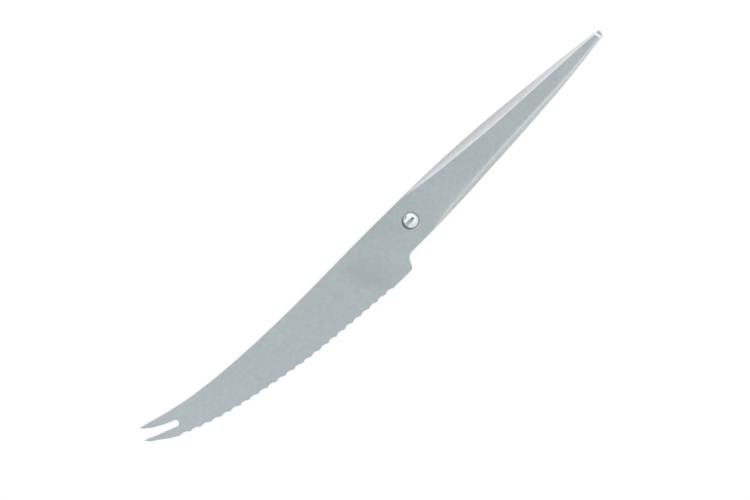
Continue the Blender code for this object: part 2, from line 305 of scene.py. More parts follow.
# Blade: ground plate with fork and heel, growing through the neck into the handle's solid front
blade = {
    "spine": ((-131.4, 16.3), (-129.0, 15.84), (-126.0, 15.02), (-114.0, 12.1), (-102.0, 10.28),
              (-86.0, 8.99), (-70.0, 8.4), (-54.0, 8.27), (-38.0, 8.53), (-22.0, 8.87),
              (-8.0, 8.96), (4.0, 9.0)),
    "edge": ((-122.0, 3.22), (-113.3, -0.14), (-107.0, -2.22), (-101.0, -3.84), (-84.9, -7.26),
             (-64.3, -10.56), (-43.4, -12.4), (-22.85, -13.8)),
    "underProng": ((-133.3, 11.55), (-132.1, 10.05), (-129.2, 7.95), (-125.9, 5.55), (-122.0, 3.22)),
    "slotUpper": ((-131.4, 16.3), (-128.7, 13.8), (-125.9, 12.05), (-122.7, 10.33), (-119.43, 9.03)),
    "slotLower": ((-133.3, 11.55), (-131.6, 11.1), (-129.2, 10.0), (-125.9, 8.7), (-122.7, 7.55),
                  (-120.35, 6.63)),
    "slotCentre": (-119.89, 7.83),
    "slotRadius": 1.29,
    "heel": (-13.6, -13.85),
    "heelRadius": 2.15,
    "hollowRadius": 3.6,
    "heelAngle": math.radians(68),
    "neckY": -8.82,
    "neckEnd": 4.0,
    "neckHalf": 1.1,
    "spineHalf": 1.05,       # half thickness at taperSpine
    "edgeHalf": 0.35,        # half thickness at the heel's edge
    "taperTip": (-121.0, 3.2),
    "taperSpine": (-20.0, 9.0),
    "runOutSlant": 0.43,
    "runOutStart": -34.0,
    "runOutWidth": 15.0,
    "runOutSteps": 16,
    "tang": (44.0, 2.1, 10.0, 5.0),   # length, thickness, height at the bolster and at the end
    "outlineStep": 2.0,
    "prongStep": 0.8,
    "leastStep": 0.02,
    "bolsterStep": 1.0,
    "heelSteps": 12,
    "hollowSteps": 16,
    "slotSteps": 18,
    "smoothBelow": 30,
    "normalWeight": 80,
}


def heelOutline():
    heelX, heelY = blade["heel"]
    small, large, angle = blade["heelRadius"], blade["hollowRadius"], blade["heelAngle"]
    fall = blade["neckY"] - heelY - (small + large) * (1 - math.cos(angle))
    straight = fall / math.sin(angle)
    hollowX = heelX + (small + large) * math.sin(angle) + straight * math.cos(angle)
    quarter = math.pi / 2
    corner = arc((heelX, heelY + small), small, -quarter, -quarter + angle, blade["heelSteps"])
    hollow = arc((hollowX, blade["neckY"] - large), large, quarter + angle, quarter, blade["hollowSteps"])
    return corner + hollow


def slotEnd():
    # the round end of the fork's slot, from its upper edge to its lower edge
    centre = Vector(blade["slotCentre"])
    first = Vector(blade["slotUpper"][-1]) - centre
    last = Vector(blade["slotLower"][-1]) - centre
    start, end = math.atan2(first.y, first.x), math.atan2(last.y, last.x)
    return arc(centre, blade["slotRadius"], start, end, blade["slotSteps"])


def bladeOutline():
    spine, edge = curveThrough(blade["spine"]), curveThrough(blade["edge"])
    upper, lower = blade["slotUpper"], blade["slotLower"]
    under, step, fine = blade["underProng"], blade["outlineStep"], blade["prongStep"]
    points = [
        *along(spine, blade["neckEnd"], upper[0][0], step),
        *along(curveThrough(upper), upper[0][0], upper[-1][0], fine),
        *slotEnd(),
        *along(curveThrough(lower), lower[-1][0], lower[0][0], fine),
        *along(curveThrough(under), under[0][0], under[-1][0], fine),
        *along(edge, under[-1][0], blade["edge"][-1][0], step),
        *heelOutline(),
        (blade["neckEnd"], bottomLine(blade["neckEnd"])),
    ]
    return [p for p, q in zip(points, points[1:] + points[:1]) if math.dist(p, q) > blade["leastStep"]]


def bladeHalf(x, y):
    # half the thickness: one ground plane, run out into the flat neck
    heelY = blade["heel"][1]
    (tipX, tipY), (spineX, spineY) = blade["taperTip"], blade["taperSpine"]
    perY = (blade["spineHalf"] - blade["edgeHalf"]) / (spineY - heelY)
    perX = perY * (tipY - heelY) / (spineX - tipX)
    ground = blade["spineHalf"] + perX * (x - spineX) + perY * (y - spineY)
    start = blade["runOutStart"]
    share = ease(x + blade["runOutSlant"] * y, start, start + blade["runOutWidth"])
    return ground + (blade["neckHalf"] - ground) * share


def groundPlate():
    plate = flatShape("serratedBlade", bladeOutline(), 0)
    openAll(plate)
    start, width, steps = blade["runOutStart"], blade["runOutWidth"], blade["runOutSteps"]
    for q in stations(start, start + width, width / steps):   # where the grinding runs out
        everything()
        bpy.ops.mesh.bisect(plane_co=place(q, 0), plane_no=(1, blade["runOutSlant"], 0))
    everything()
    pull(0, 0, 1)
    bpy.ops.object.mode_set(mode="OBJECT")
    for vertex in plate.data.vertices:
        x, y = vertex.co.x / mm - shift.x, vertex.co.y / mm - shift.y
        side = 1 if vertex.co.z > 0 else -1
        vertex.co.z = side * bladeHalf(x, y) * mm
    openAll(plate)
    turnOutwards()
    return plate


def atEnd(piece, item, x):
    return all(abs(piece.data.vertices[i].co.x - place(x, 0).x) < tiny for i in item.vertices)


def roundRims(plate):
    # softens both long edges all round
    normals = edgeNormals(plate)

    def isRim(edge):
        if atEnd(plate, edge, blade["neckEnd"]):
            return False
        heights = [abs(normal.z) for normal in normals[edge.key]]
        return max(heights) > alongAxis and min(heights) < acrossAxis

    selectWhere(plate, "edges", isRim)
    bpy.ops.mesh.bevel(offset=edgeRounding * mm, segments=handle["cornerSteps"], affect="EDGES")
    bpy.ops.object.mode_set(mode="OBJECT")


def matchSection(plate):
    # gives the neck's end as many points as the handle's section has
    end = blade["neckEnd"]
    sideCuts = len(handle["sideShares"])
    wallCuts = 2 * (handle["facetSteps"] + handle["ridgeSteps"]) - 1
    sideSpan, wallSpan = 5.0, 1.0   # its long edges are longer than this, in height and in thickness

    def span(edge, axis):
        a, b = (plate.data.vertices[i].co[axis] for i in edge.vertices)
        return abs(a - b) / mm

    for side in (1, -1):
        selectWhere(plate, "edges", lambda edge: atEnd(plate, edge, end) and span(edge, 1) > sideSpan
                    and plate.data.vertices[edge.vertices[0]].co.z * side > 0)
        bpy.ops.mesh.subdivide(number_cuts=sideCuts)
        selectWhere(plate, "edges", lambda edge: atEnd(plate, edge, end) and span(edge, 2) > wallSpan
                    and plate.data.vertices[edge.vertices[0]].co.y * side > 0)
        bpy.ops.mesh.subdivide(number_cuts=wallCuts)


def growBolster(plate):
    # draws the neck's end out into the front of the handle, then the tang out of that
    start, end = blade["neckEnd"], handle["bolsterEnd"]
    selectWhere(plate, "polygons", lambda face: face.normal.x > alongAxis and atEnd(plate, face, start))
    for x in stations(start, end, blade["bolsterStep"])[1:]:
        pull(1, 0, 0)
        ring = ringRound(plate, place(x, (topLine(x) + bottomLine(x)) / 2).y)
        for vertex, point in zip(ring, fullSection(x), strict=True):
            vertex.co = place(x, point.x, point.y)
        bpy.ops.object.mode_set(mode="EDIT")
    length, thick, high, low = blade["tang"]
    centre = place(end, (upperLine(end) + lowerLine(end)) / 2)
    width = topLine(end) - bottomLine(end)
    pull(0, 0, 0)
    flatter = thick / 2 / thicknessLine(end)
    bpy.ops.transform.resize(value=(1, high / width, flatter), center_override=centre)
    pull(length, 0, 0)
    bpy.ops.transform.resize(value=(1, low / high, 1), center_override=centre)
    bpy.ops.object.mode_set(mode="OBJECT")


# Serration: equal hollows, deepest a little towards the tip, ground up the far face only
serration = {
    "count": 24,
    "depth": 0.69,
    "lean": 0.22,            # how far a hollow's deepest place lies towards the tip
    "steps": 14,
    "proud": 0.08,           # the points stand this far past the plain edge's line
    "land": 0.18,            # height above the mid-plane where the grinding starts
    "rise": 6.0,             # how far a flute climbs the far face for each millimetre of depth
    "plainFrom": -14.6,
    "plainDrop": 0.05,
    "margin": 9.0,           # how far the grinder passes the blade
    "fluteAhead": 0.5,       # the flutes reach this far past the edge's front end,
    "fluteReach": 6.0,       # and this far up the far face
    "crispAngle": 5.0,       # borders that turn by more than this stay crisp
}


def hollow(right, left):
    lie = math.atan2(right[1] - left[1], right[0] - left[0])
    points = []
    for i in range(1, serration["steps"] + 1):
        t = i / serration["steps"]
        leant = t - serration["lean"] * t * (1 - t)
        rise = 4 * leant * (1 - leant) * serration["depth"]
        points.append((right[0] + (left[0] - right[0]) * t - rise * math.sin(lie),
                       right[1] + (left[1] - right[1]) * t + rise * math.cos(lie)))
    return points


def grindSerration(plate):
    edge, knots = curveThrough(blade["edge"]), blade["edge"]
    heelY, margin = blade["heel"][1], serration["margin"]
    xs = stations(knots[-1][0], knots[0][0], (knots[-1][0] - knots[0][0]) / serration["count"])
    points = [(x, edge(x) - serration["proud"]) for x in xs]
    profile = [(serration["plainFrom"], heelY - serration["plainDrop"]), points[0]]
    for right, left in zip(points, points[1:]):
        profile += hollow(right, left)
    low = heelY - margin
    profile += [(points[-1][0] - margin, low), (serration["plainFrom"] + margin, low)]
    reach, land = 3.0, serration["land"]
    cutter = flatShape("serrationGrinder", profile, reach)
    openAll(cutter)
    pull(0, 0, land - reach)
    pull(0, (land + reach) * serration["rise"], -land - reach)
    turnOutwards()
    cut(plate, cutter)


def boreForStud(plate):
    centre, rim = place(*studPlace), stud["bore"] * mm
    sides, depth = stud["boreSides"], stud["boreDepth"] * mm
    bpy.ops.mesh.primitive_cylinder_add(vertices=sides, radius=rim, depth=depth, location=centre)
    cut(plate, named("studBore"))

    def onRim(edge):
        ends = [plate.data.vertices[i].co for i in edge.vertices]
        onCircle = all(abs((end.xy - centre.xy).length - rim) < 10 * tiny for end in ends)
        return onCircle and (ends[0].z > 0) == (ends[1].z > 0)

    selectWhere(plate, "edges", onRim)
    bpy.ops.mesh.bevel(offset=stud["boreRounding"] * mm, segments=stud["boreSteps"], affect="EDGES")


def markFlutes(plate):
    # keeps the flutes' borders crisp on the far face
    normals = edgeNormals(plate)
    edge, front = curveThrough(blade["edge"]), blade["edge"][0][0]
    crisp = math.radians(serration["crispAngle"])

    def isFlute(item):
        ends = [plate.data.vertices[i].co for i in item.vertices]
        x = ends[0].x / mm - shift.x
        y = ends[0].y / mm - shift.y
        if x > serration["plainFrom"] or x < front - serration["fluteAhead"]:
            return False
        if y > edge(max(x, front)) + serration["fluteReach"]:
            return False
        pair = normals[item.key]
        return max(end.z for end in ends) < serration["land"] * mm and pair[0].angle(pair[-1]) > crisp

    selectWhere(plate, "edges", isFlute)
    bpy.ops.mesh.mark_sharp()


# Stud: a polished finger stop, domed on both sides, in a bore through the neck
stud = {
    "radius": 2.85,
    "bore": 3.4,
    "boreRounding": 0.1,
    "boreSides": 96,
    "boreDepth": 6.0,
    "boreSteps": 3,
    "domeRadius": 4.3,
    "shoulder": 0.15,        # how far its rim stands above the neck
    "rimRounding": 0.30,
    "grooveDepth": 0.3,      # the groove round it, down to the collar that fills the bore
    "collarGap": 0.01,
    "fillet": 0.05,
    "domeSteps": 12,
    "rimSteps": 5,
    "turns": 128,
    "weld": 0.002,
    "smoothBelow": 40,
}


def makeStud():
    # half of the profile, spun round and mirrored
    rim, dome = stud["radius"] - stud["rimRounding"], stud["domeRadius"]
    fall = math.sqrt(dome**2 - rim**2)
    base = blade["neckHalf"] + stud["shoulder"]
    tilt = math.asin(rim / dome)
    profile = []
    for i in range(stud["domeSteps"] + 1):
        turn = tilt * i / stud["domeSteps"]
        profile.append((dome * math.sin(turn), base + dome * math.cos(turn) - fall))
    drop, side, fillet = stud["rimRounding"], stud["radius"], stud["fillet"]
    for i in range(1, stud["rimSteps"] + 1):
        turn = math.pi / 2 * i / stud["rimSteps"]
        profile.append((rim + drop * math.sin(turn), base - drop * (1 - math.cos(turn))))
    collar, floor = stud["bore"] - stud["collarGap"], blade["neckHalf"] - stud["grooveDepth"]
    profile += [(side, floor + fillet), (side + fillet, floor), (collar, floor), (collar, 0.0)]
    profile += [(r, -z) for r, z in profile[-2::-1]]
    bpy.ops.mesh.primitive_circle_add(vertices=len(profile) + 1, fill_type="NOTHING")
    piece = named("polishedStud")
    x, y = studPlace
    for vertex, (r, z) in zip(piece.data.vertices, profile + [(0.0, 0.0)]):
        vertex.co = place(x + r, y, z)
    selectWhere(piece, "vertices", lambda vertex: vertex.index == len(profile))
    bpy.ops.mesh.delete(type="VERT")
    everything()
    bpy.ops.mesh.spin(steps=stud["turns"], angle=math.tau, center=place(x, y), axis=(0, 0, 1))
    everything()
    bpy.ops.mesh.remove_doubles(threshold=stud["weld"] * mm)
    turnOutwards()
    smooth(piece, stud["smoothBelow"])
    return piece


def makeHalf(name, side):
    # one pressed half: a sheet laid over the sections, then given its wall inwards
    start, end = handle["bolsterEnd"], handle["shellEnd"]
    xs = stations(start, end, handle["step"])
    rows = len(halfSection(start))
    bpy.ops.mesh.primitive_grid_add(x_subdivisions=len(xs) - 1, y_subdivisions=rows - 1)
    piece = named(name)
    for i, x in enumerate(xs):
        middle = (topLine(x) + bottomLine(x)) / 2
        late = handle["endSlant"] * ease(x, end - handle["slantReach"], end)
        for j, point in enumerate(halfSection(x)):
            vertex = piece.data.vertices[j * len(xs) + i]
            vertex.co = place(x + late * (point.x - middle), point.x, side * point.y)
    openAll(piece)
    if side > 0:
        bpy.ops.mesh.flip_normals()
    applyModifier(piece, "SOLIDIFY", thickness=handle["wall"] * mm, offset=-1.0, use_even_offset=True)
    # the wall's inner edges pass the mid-plane, where the halves meet, and go back onto it
    selectWhere(piece, "vertices", lambda vertex: vertex.co.z * side < 0)
    bpy.ops.transform.resize(value=(1, 1, 0), center_override=(0, 0, 0))
    smooth(piece, handle["smoothBelow"])
    return piece


# Cap: the handle's polished end, a sloping band and a small domed face, with a spigot inside the halves
cap = {
    "bandEnd": 102.5,
    "bandFlat": 0.78,        # what is left of the thickness where the band ends
    "levelEnd": 103.45,
    "end": 104.025,
    "narrow": 0.96,          # the small end's height against the handle's
    "bluntness": 6.0,        # how square the small end is, two for an ellipse
    "drawnBack": (0.16, 0.32),   # how far its outline falls back towards the belly and at both sides
    "spigotStart": 96.5,
    "spigot": 0.66,          # the spigot's size as a share of the section
    "domeSteps": 8,
    "domeEnd": (0.62, 0.4),      # how much of the height and the thickness is left where the dome closes
    "closing": (0.7, 0.4, 0.1),  # the last rings, as shares of that
    "bandStep": 0.2,
    "levelStep": 0.25,
    "smoothBelow": 30,
}


def capRing(piece, x, tall, thick, full, left=1.0):
    # moves the selected ring onto the section at x, scaled, and turned by a share into a blunt oval;
    # left is what is left of a ring that closes the end face
    middle = (topLine(x) + bottomLine(x)) / 2
    reach, half = (topLine(x) - bottomLine(x)) / 2, thicknessLine(x)
    ring = ringRound(piece, place(x, middle).y)
    slant = handle["endSlant"] * (1 - ease(x, handle["shellEnd"], cap["levelEnd"]))
    late = max(0.0, (x - cap["bandEnd"]) / (cap["end"] - cap["bandEnd"]))
    power = cap["bluntness"]
    for vertex, point in zip(ring, fullSection(x), strict=True):
        away = Vector((point.x - middle, point.y))
        oval = (abs(away.x / reach) ** power + abs(away.y / half) ** power) ** (-1 / power)
        away = away.lerp(away * oval, full)
        u = away.x / reach * left
        back = late * (cap["drawnBack"][0] * u - cap["drawnBack"][1] * u * u)
        away = Vector((away.x * tall, away.y * thick)) * left
        vertex.co = place(x + slant * away.x + back, middle + away.x, away.y)
    bpy.ops.object.mode_set(mode="EDIT")


def makeCap():
    start = handle["shellEnd"]
    section = fullSection(start)
    bpy.ops.mesh.primitive_circle_add(vertices=len(section), fill_type="NGON")
    piece = named("polishedCap")
    middle, share = (topLine(start) + bottomLine(start)) / 2, cap["spigot"]
    for vertex, point in zip(piece.data.vertices, section):
        vertex.co = place(cap["spigotStart"], middle + (point.x - middle) * share, point.y * share)
    openAll(piece)
    pull(start - cap["spigotStart"], 0, 0)
    pull(0, 0, 0)
    capRing(piece, start, 1, 1, 0)
    narrow, level = cap["narrow"], cap["bandFlat"]
    for x in stations(start, cap["bandEnd"], cap["bandStep"])[1:]:
        share = (x - start) / (cap["bandEnd"] - start)
        pull(1, 0, 0)
        capRing(piece, x, 1 + (narrow - 1) * share, 1 + (level - 1) * share, share)
    for x in stations(cap["bandEnd"], cap["levelEnd"], cap["levelStep"])[1:]:
        pull(1, 0, 0)
        capRing(piece, x, narrow, level, 1)
    for i in range(1, cap["domeSteps"] + 1):
        turn = math.pi / 2 * i / cap["domeSteps"]
        x = cap["levelEnd"] + (cap["end"] - cap["levelEnd"]) * math.sin(turn)
        pull(1, 0, 0)
        tall, thick = (left + (1 - left) * math.cos(turn) for left in cap["domeEnd"])
        capRing(piece, x, narrow * tall, level * thick, 1)
    for share in cap["closing"]:
        pull(1, 0, 0)
        capRing(piece, x, narrow * tall, level * thick, 1, share)
    turnOutwards()
    smooth(piece, cap["smoothBelow"])
    return piece


# Finishes: all read Object coordinates, which are metres in the knife's frame
satin = {
    "light": (0.812, 0.828, 0.840, 1),
    "dark": (0.692, 0.712, 0.727, 1),
    "cloud": (24.0, 2.0),    # noise: its scale for each metre, its detail and its roughness
    "mottle": (620.0, 5.0, 0.6),
    "grain": (5200.0, 2.0),
    "shares": (0.35, 0.65),  # of cloud and mottle in the tone
    "roughness": (0.40, 0.46),
    "grainDepth": 0.004,     # in millimetres
    "paintedSheen": (0.92, 0.93, 0.94, 1),   # where the hand has rubbed it brighter: above the upper
    "paintedSheenAlong": (62.0, 90.0),       # crease towards the butt, from here to here,
    "paintedSheenAcross": ((77.5, 2.4), (104.0, 1.2), 0.6),  # painted sheen: a painted highlight above the upper crease towards the butt, from here to here, over a line through two places, with a soft edge
    "paintedSheenShare": 0.48,
    "runOut": 0.10,          # painted shade: how much darker the steel is painted where the grinding runs out
    "runOutAcross": (-35.0, -29.0, -17.5),   # where that starts, is darkest and ends, along the slant
    "runOutUp": (-30.0, -8.0, 1.0, 6.0),     # and the same across the blade
}
polish = {
    "light": (0.885, 0.89, 0.895, 1),
    "dark": (0.855, 0.86, 0.87, 1),
    "roughness": (0.035, 0.075),
    "satinFrom": (102.5, 102.7),     # the cap's end face is satin again past its polished band
    "satinColour": (0.752, 0.770, 0.784, 1),
    "satinRoughness": 0.43,
    "cloud": (400.0, 3.0),
    "hairlines": (3000.0, 4.0, 0.5, (0.15, 1, 1)),   # stretched along the knife
    "hairDepth": 0.0006,
}
groove = {                   # painted shade in the groove round the stud, heavier on the side towards the tip
    "colour": (0.02, 0.045, 0.055, 1),
    "inner": 2.90,
    "outer": 3.48,
    "fade": 0.12,
    "most": 0.82,
    "least": 0.08,
    "mostTo": -0.95,         # how far along the knife, as shares of its outer radius
    "leastFrom": -0.2,
    "aside": -0.2,           # its middle against the stud's
}
resin = {
    "light": (0.36, 0.34, 0.30, 1),
    "dark": (0.26, 0.24, 0.21, 1),
    "mottle": (420.0, 6.0, 0.65),
    "roughness": (0.75, 0.92),
    "grainDepth": 0.05,
}


def newMaterial(name):
    material = bpy.data.materials.new(name)
    material.use_nodes = True
    return material, material.node_tree


def newSurface(name, metallic=0.0):
    # also gives the shader, and the place that its patterns read
    material, tree = newMaterial(name)
    shader = tree.nodes["Principled BSDF"]
    shader.inputs["Metallic"].default_value = metallic
    return material, tree, shader, tree.nodes.new("ShaderNodeTexCoord").outputs["Object"]


def feed(tree, socket, value):
    # links the socket, or gives it a fixed value
    if isinstance(value, bpy.types.NodeSocket):
        tree.links.new(value, socket)
    else:
        socket.default_value = value


def noise(tree, source, scale, detail, rough=0.5, stretch=(1, 1, 1)):
    mapping = tree.nodes.new("ShaderNodeMapping")
    mapping.inputs["Scale"].default_value = stretch
    tree.links.new(source, mapping.inputs["Vector"])
    texture = tree.nodes.new("ShaderNodeTexNoise")
    texture.inputs["Scale"].default_value = scale
    texture.inputs["Detail"].default_value = detail
    texture.inputs["Roughness"].default_value = rough
    tree.links.new(mapping.outputs["Vector"], texture.inputs["Vector"])
    return texture.outputs["Fac"]


def between(tree, source, low, high, start=0.3, end=0.7):
    # a noise stays mostly between that start and end
    ranged = tree.nodes.new("ShaderNodeMapRange")
    ranged.inputs["From Min"].default_value = start
    ranged.inputs["From Max"].default_value = end
    ranged.inputs["To Min"].default_value = low
    ranged.inputs["To Max"].default_value = high
    tree.links.new(source, ranged.inputs["Value"])
    return ranged.outputs["Result"]


def cover(tree, colour, over, share):
    mix = tree.nodes.new("ShaderNodeMix")
    mix.data_type = "RGBA"
    feed(tree, mix.inputs["Factor"], share)
    feed(tree, mix.inputs["A"], colour)
    feed(tree, mix.inputs["B"], over)
    return mix.outputs["Result"]


def tint(tree, source, dark, light):
    return cover(tree, dark, light, between(tree, source, 0.0, 1.0))


def bump(tree, source, depth, shader):
    node = tree.nodes.new("ShaderNodeBump")
    node.inputs["Strength"].default_value = 1.0
    node.inputs["Distance"].default_value = depth * mm
    tree.links.new(source, node.inputs["Height"])
    tree.links.new(node.outputs["Normal"], shader.inputs["Normal"])


def sums(tree, operation, first, second):
    node = tree.nodes.new("ShaderNodeMath")
    node.operation = operation
    feed(tree, node.inputs[0], first)
    feed(tree, node.inputs[1], second)
    return node.outputs["Value"]


def vectors(tree, operation, first, second=None):
    # works on a vector, with a fixed one where the operation takes two
    node = tree.nodes.new("ShaderNodeVectorMath")
    node.operation = operation
    feed(tree, node.inputs[0], first)
    if second is not None:
        feed(tree, node.inputs[1], second)
    return node.outputs["Value" if operation in ("DOT_PRODUCT", "LENGTH") else "Vector"]


def parts(tree, vector):
    split = tree.nodes.new("ShaderNodeSeparateXYZ")
    tree.links.new(vector, split.inputs["Vector"])
    return split.outputs


def withGrooveShade(tree, where, colour):
    # paints shade over a colour in the groove round the stud
    centre = place(studPlace[0] + groove["aside"], studPlace[1])
    moved = vectors(tree, "SUBTRACT", where, centre)
    away = vectors(tree, "LENGTH", vectors(tree, "MULTIPLY", moved, (1, 1, 0)))
    inner, outer, fade = groove["inner"] * mm, groove["outer"] * mm, groove["fade"] * mm
    rise = between(tree, away, 0.0, 1.0, inner - fade, inner + fade)
    fall = between(tree, away, 1.0, 0.0, outer - fade, outer + fade)
    depth = between(tree, parts(tree, moved)["X"], groove["most"], groove["least"],
                    groove["mostTo"] * outer, groove["leastFrom"] * outer)
    share = sums(tree, "MULTIPLY", sums(tree, "MULTIPLY", rise, fall), depth)
    return cover(tree, colour, groove["colour"], share)


def runOutShade(tree, where):
    # painted shade: rises to one along the slanted band where the ground flat meets the neck
    across = vectors(tree, "DOT_PRODUCT", where, (1, blade["runOutSlant"], 0))
    height = parts(tree, where)["Y"]
    origin = place(0, 0).x + blade["runOutSlant"] * place(0, 0).y
    start, darkest, end = (origin + value * mm for value in satin["runOutAcross"])
    rise = between(tree, across, 0.0, 1.0, start, darkest)
    fall = between(tree, across, 1.0, 0.0, darkest, end)
    low, full, high, top = (place(0, value).y for value in satin["runOutUp"])
    up = between(tree, height, 0.0, 1.0, low, full)
    down = between(tree, height, 1.0, 0.0, high, top)
    band = sums(tree, "MINIMUM", rise, fall)
    return sums(tree, "MULTIPLY", band, sums(tree, "MINIMUM", up, down))


def sheenOverButt(tree, where):
    # painted sheen: a painted highlight that rises towards the butt, above the upper crease
    start, end = (place(x, 0).x for x in satin["paintedSheenAlong"])
    paintedSheen = between(tree, parts(tree, where)["X"], 0.0, satin["paintedSheenShare"], start, end)
    (x, y), (farX, farY), soft = satin["paintedSheenAcross"]
    slant = (farY - y) / (farX - x)
    over = vectors(tree, "DOT_PRODUCT", where, (-slant, 1, 0))
    low = place(x, y).y - slant * place(x, y).x
    above = between(tree, over, 0.0, 1.0, low, low + soft * mm)
    return sums(tree, "MULTIPLY", paintedSheen, above)


def satinSteel():
    material, tree, shader, where = newSurface("satinSteel", 1.0)
    cloud = noise(tree, where, *satin["cloud"])
    mottle = noise(tree, where, *satin["mottle"])
    grain = noise(tree, where, *satin["grain"])
    shares = satin["shares"]
    tone = sums(tree, "ADD", sums(tree, "MULTIPLY", cloud, shares[0]),
                sums(tree, "MULTIPLY", mottle, shares[1]))
    # painted shade where the grinding runs out, blended towards black
    band = sums(tree, "MULTIPLY", runOutShade(tree, where), satin["runOut"])
    black = (0, 0, 0, 1)
    colour = cover(tree, tint(tree, tone, satin["dark"], satin["light"]), black, band)
    # painted sheen above the upper crease towards the butt
    colour = cover(tree, colour, satin["paintedSheen"], sheenOverButt(tree, where))
    # painted shade in the groove round the stud
    tree.links.new(withGrooveShade(tree, where, colour), shader.inputs["Base Color"])
    tree.links.new(between(tree, grain, *satin["roughness"]), shader.inputs["Roughness"])
    bump(tree, grain, satin["grainDepth"], shader)
    return material


def polishedSteel():
    material, tree, shader, where = newSurface("polishedSteel", 1.0)
    cloud = noise(tree, where, *polish["cloud"])
    hairs = noise(tree, where, *polish["hairlines"])
    start, end = (place(x, 0).x for x in polish["satinFrom"])
    satinShare = between(tree, parts(tree, where)["X"], 0.0, 1.0, start, end)
    colour = cover(tree, tint(tree, cloud, polish["dark"], polish["light"]),
                   polish["satinColour"], satinShare)
    # painted shade in the groove round the stud
    tree.links.new(withGrooveShade(tree, where, colour), shader.inputs["Base Color"])
    rougher = sums(tree, "MULTIPLY", satinShare, polish["satinRoughness"])
    roughness = sums(tree, "MAXIMUM", rougher, between(tree, hairs, *polish["roughness"]))
    tree.links.new(roughness, shader.inputs["Roughness"])
    bump(tree, hairs, polish["hairDepth"], shader)
    return material


def curedResin():
    material, tree, shader, where = newSurface("curedResin")
    mottle = noise(tree, where, *resin["mottle"])
    tree.links.new(tint(tree, mottle, resin["dark"], resin["light"]), shader.inputs["Base Color"])
    tree.links.new(between(tree, mottle, *resin["roughness"]), shader.inputs["Roughness"])
    bump(tree, mottle, resin["grainDepth"], shader)
    return material


def finish(piece, material, node):
    piece.data.materials.clear()
    piece.data.materials.append(material)
    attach(piece, "root")
    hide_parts(node)


# Stage: the knife lies on its handle and its tip, so the floor runs through both
stage = {
    "size": 6000.0,
    "paper": (0.70, 0.72, 0.73, 1),
    "paperCuts": 12,
    "paperFibre": (900.0, 5.0),      # its noise
    "paperLow": 0.99,                # and its tone at the lowest, as a share
    "paperRoughness": 0.9,
    "paperGap": 0.05,                # under the handle
    "rests": (46.5, -131.0, 14.0),   # where the handle and the tip lie on it: x of both and the tip's y
    "paperAlong": (52.0, 92.0),      # painted light: it is painted lighter along the handle, which the facets reflect, from this share of its colour to this one
    "paperShares": (0.94, 1.17),     # from this share of its colour to this one
    "glow": 1.07,
    "cameraShare": 0.86,             # how much of the paper is glow for the camera
    "glossyShare": 0.10,             # and in the steel's reflections
    "cardHeight": 250.0,
    "cardX": (-370.0, 265.0),
    "cardY": (-82.0, 90.0),
    "cardCuts": (16, 4),
    "cardFlare": (-120.0, -300.0, 1.35),  # where it grows wider towards the tip's side, and how much
    "cardTint": (0.81, 1.0, 1.05),
    "cardTintTip": (0.85, 1.0, 1.04),  # the same over the blade,
    "cardTintTipEnd": 0.45,          # up to this place on the card
    "cardGreys": ((0.0, 0.30), (0.12, 0.48), (0.40, 0.515), (0.50, 0.425), (0.58, 0.42), (0.66, 0.37),
                  (0.76, 0.64), (1.0, 0.72)),
    "lens": (158.0, 8.0, 68.0, 42.0),  # a dark oval on the card: its place and its half lengths
    "lensEdge": (0.85, 1.15),        # its soft edge, as shares of those
    "lensGrey": 0.0,                 # as a share of the card's grey
    "skyBelly": 0.86,                # the light round about, from the belly's side to the spine's side
    "skySpine": 1.13,
    "skyTip": 0.89,                  # and its share from the tip's side to the butt's side
    "skyButt": 1.11,
    "skyLow": 0.82,                  # what is left of it at the floor, up to the height where it is whole
    "skyWhole": 0.5,
    "flag": (180.0, 10.0),           # a dark round flag low beyond the tip: the way to it and its height,
    "flagEdge": (12.0, 28.0),        # its soft edge, all in degrees,
    "flagDepth": 0.35,               # and how dark it is
    "smallFlag": (107.0, 21.0),      # a small grey card beside the stud: the way to it and its height,
    "smallFlagAway": 25.0,           # in degrees, and how far it is
    "smallFlagHalf": (13.0, 5.2),    # its half width and half height
    "smallFlagSides": 48,
    "smallFlagColour": (0.11, 0.16, 0.18, 1),
}


def paperMaterial():
    material, tree, shader, where = newSurface("paper")
    shader.inputs["Roughness"].default_value = stage["paperRoughness"]
    fibre = noise(tree, where, *stage["paperFibre"])
    start, end = (place(x, 0).x for x in stage["paperAlong"])
    along = between(tree, parts(tree, where)["X"], *stage["paperShares"], start, end)
    # painted light: the paper's colour is scaled up along the handle
    paintedLight = tree.nodes.new("ShaderNodeVectorMath")
    paintedLight.operation = "SCALE"
    low = [tone * stage["paperLow"] for tone in stage["paper"][:3]] + [1]
    tree.links.new(tint(tree, fibre, low, stage["paper"]), paintedLight.inputs[0])
    tree.links.new(along, paintedLight.inputs["Scale"])
    tree.links.new(paintedLight.outputs["Vector"], shader.inputs["Base Color"])
    glow = tree.nodes.new("ShaderNodeEmission")
    glow.inputs["Strength"].default_value = stage["glow"]
    path = tree.nodes.new("ShaderNodeLightPath").outputs
    seen = sums(tree, "MAXIMUM", path["Is Camera Ray"], path["Is Transmission Ray"])
    share = sums(tree, "MAXIMUM", sums(tree, "MULTIPLY", seen, stage["cameraShare"]),
                 sums(tree, "MULTIPLY", path["Is Glossy Ray"], stage["glossyShare"]))
    mix = tree.nodes.new("ShaderNodeMixShader")
    tree.links.new(share, mix.inputs["Fac"])
    tree.links.new(shader.outputs["BSDF"], mix.inputs[1])
    tree.links.new(glow.outputs["Emission"], mix.inputs[2])
    tree.links.new(mix.outputs["Shader"], tree.nodes["Material Output"].inputs["Surface"])
    return material


